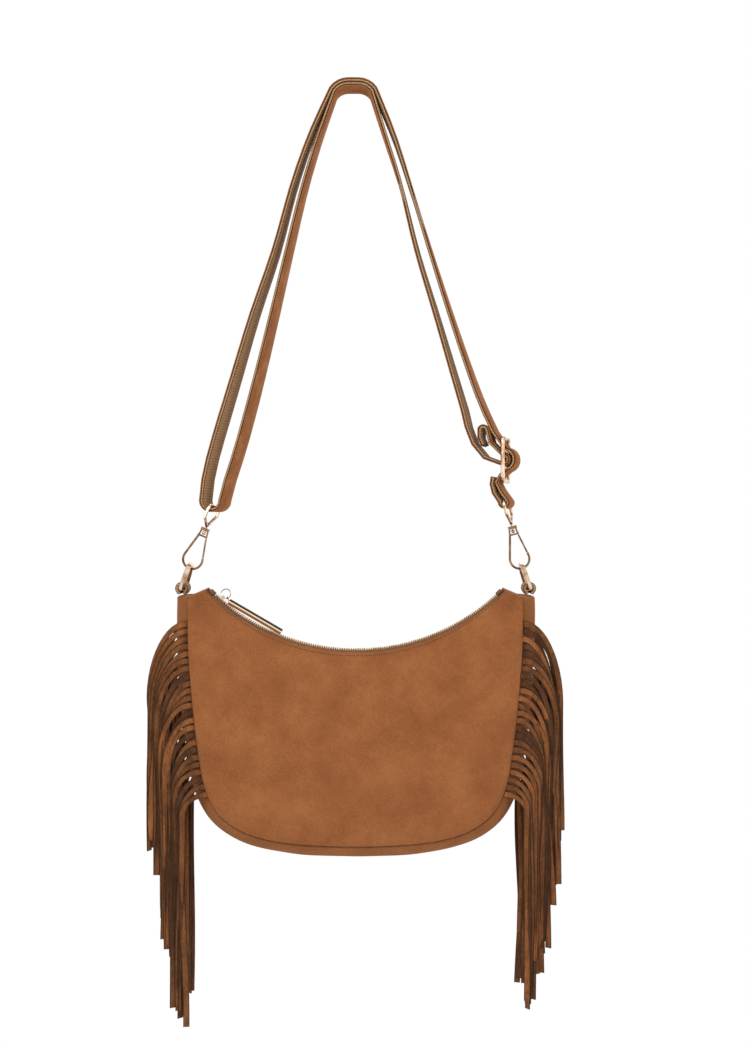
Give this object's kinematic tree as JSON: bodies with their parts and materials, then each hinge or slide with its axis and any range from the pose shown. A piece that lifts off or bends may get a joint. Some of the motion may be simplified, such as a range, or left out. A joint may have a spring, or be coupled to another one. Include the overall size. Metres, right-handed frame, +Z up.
{
  "type": "fringed suede shoulder bag",
  "caption": "Half-moon suede shoulder bag with a zipped scooped top, hanging fringes down both side seams, and a webbing strap clipped on by swivel hooks at D-rings.",
  "frame": {"origin": "where the strap's folded top rests on its support, on the underside of the inner strap layer", "axes": "+Z up, -Y the front of the bag, +X to the right seen from the front"},
  "size_m": [0.3278, 0.0652, 0.7235],
  "materials": {
    "suede": "napped matte",
    "zip_end_suede": "napped matte",
    "webbing": "woven",
    "lining": "plain cotton",
    "zip_tape": "woven",
    "gold": "polished pale gold"
  },
  "bodies": {
    "strap": {"strap_webbing": "webbing", "strap_facing": "suede", "slide_buckle": "gold", "swivel_eye_left": "gold", "swivel_eye_right": "gold"},
    "bag": {"front_panel": "suede", "back_panel": "suede", "gusset": "suede", "lining": "lining", "zip_tape_front": "zip_tape", "zip_tape_back": "zip_tape", "zip_teeth_front": "gold", "zip_teeth_back": "gold", "zip_end_left": "zip_end_suede", "zip_end_right": "zip_end_suede", "tab_left": "webbing", "tab_right": "webbing", "fringe_left_front": "suede", "fringe_left_back": "suede", "fringe_right_front": "suede", "fringe_right_back": "suede"},
    "ring_left": {"d_ring_left": "gold"},
    "ring_right": {"d_ring_right": "gold"},
    "hook_left_body": {"hook_left": "gold"},
    "hook_right_body": {"hook_right": "gold"},
    "gate_left_body": {"gate_left": "gold"},
    "gate_right_body": {"gate_right": "gold"},
    "slider": {"zip_slider": "gold"},
    "pull_ring": {"zip_pull_ring": "gold"},
    "pull_bar": {"zip_pull_bar": "gold"}
  },
  "joints": [
    {"name": "bag_swing", "type": "hinge", "parent": "strap", "child": "bag", "pos_m": [0, 0, -0.373], "axis": [1, 0, 0], "range_deg": [-35, 35]},
    {"name": "ring_left_tilt", "type": "hinge", "parent": "bag", "child": "ring_left", "pos_m": [-0.1328, 0, -0.3883], "axis": [0, 1, 0], "range_deg": [-1, 1]},
    {"name": "ring_right_tilt", "type": "hinge", "parent": "bag", "child": "ring_right", "pos_m": [0.1364, 0, -0.3883], "axis": [0, 1, 0], "range_deg": [-1, 1]},
    {"name": "hook_left_swivel", "type": "hinge", "parent": "strap", "child": "hook_left_body", "pos_m": [-0.12695, 0, -0.3699], "axis": [0.3889, 0, 0.9213], "range_deg": [-12, 12]},
    {"name": "hook_right_swivel", "type": "hinge", "parent": "strap", "child": "hook_right_body", "pos_m": [0.13055, 0, -0.3699], "axis": [-0.2293, 0, 0.9734], "range_deg": [-12, 12]},
    {"name": "gate_left_hinge", "type": "hinge", "parent": "hook_left_body", "child": "gate_left_body", "pos_m": [-0.11504, 0, -0.35069], "axis": [0, 1, 0], "range_deg": [0, 28], "stiffness_Nm_per_rad": 0.07, "springref_deg": -17.19},
    {"name": "gate_right_hinge", "type": "hinge", "parent": "hook_right_body", "child": "gate_right_body", "pos_m": [0.12884, 0, -0.34736], "axis": [0, 1, 0], "range_deg": [0, 28], "stiffness_Nm_per_rad": 0.07, "springref_deg": -17.19},
    {"name": "zip_slide", "type": "hinge", "parent": "bag", "child": "slider", "pos_m": [0.0018, 0, -0.27352], "axis": [0, -1, 0], "range_deg": [0, 72]},
    {"name": "pull_ring_flop", "type": "hinge", "parent": "slider", "child": "pull_ring", "pos_m": [-0.10178, 0, -0.39566], "axis": [-0.7627, 0, 0.6468], "range_deg": [0, 50]},
    {"name": "pull_bar_lift", "type": "hinge", "parent": "pull_ring", "child": "pull_bar", "pos_m": [-0.09939, 0, -0.39284], "axis": [0, -1, 0], "range_deg": [0, 100]}
  ]
}
